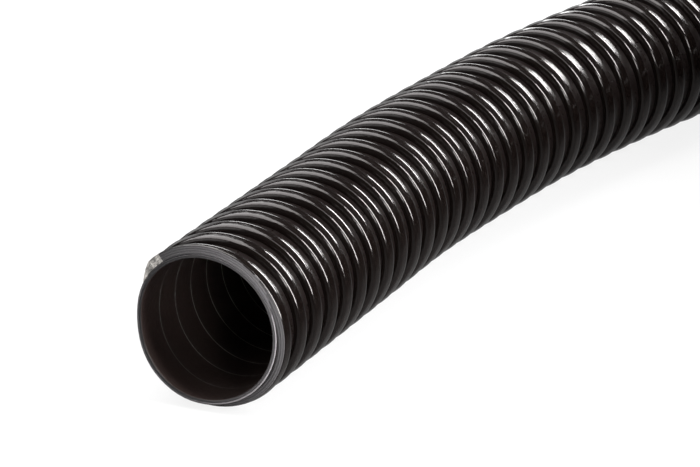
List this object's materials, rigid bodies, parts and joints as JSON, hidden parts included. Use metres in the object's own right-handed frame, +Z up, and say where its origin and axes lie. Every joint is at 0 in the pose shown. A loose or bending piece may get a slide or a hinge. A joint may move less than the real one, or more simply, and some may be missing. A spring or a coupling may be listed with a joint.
{
  "type": "vacuum hose",
  "caption": "Ribbed spiral-wound pool vacuum hose with plain cut ends, its free end laid out straight and the rest wound into a strapped coil.",
  "frame": {"origin": "centre of the free end's bore, on its cut face", "axes": "-Y out of the free end's mouth along the bore, so that the hose runs off along +Y; +Z up from the floor that the hose lies on; +X towards the coil"},
  "size_m": [0.5969, 0.6211, 0.0887],
  "materials": {
    "hose_wall": "glossy black EVA wall, wound from a strip",
    "hose_rib": "glossy black foamed-core rib",
    "strap": "woven nylon hook-and-loop strap"
  },
  "bodies": {
    "coil": {"coiled_turns": "hose_wall", "lead_wall": "hose_wall", "lead_rib": "hose_rib", "bend_wall": "hose_wall", "bend_rib": "hose_rib", "far_end_wall": "hose_wall", "far_end_rib": "hose_rib", "coil_strap_1": "strap", "coil_strap_2": "strap", "coil_strap_3": "strap", "coil_strap_4": "strap"},
    "free_end": {"free_end_wall": "hose_wall", "free_end_rib": "hose_rib"}
  },
  "joints": [
    {"name": "free_end_swing", "type": "hinge", "parent": "coil", "child": "free_end", "pos_m": [0, 0.099, 0], "axis": [0, 0, 1], "range_deg": [-20, 20], "deforming": ["bend_wall", "bend_rib"]}
  ]
}
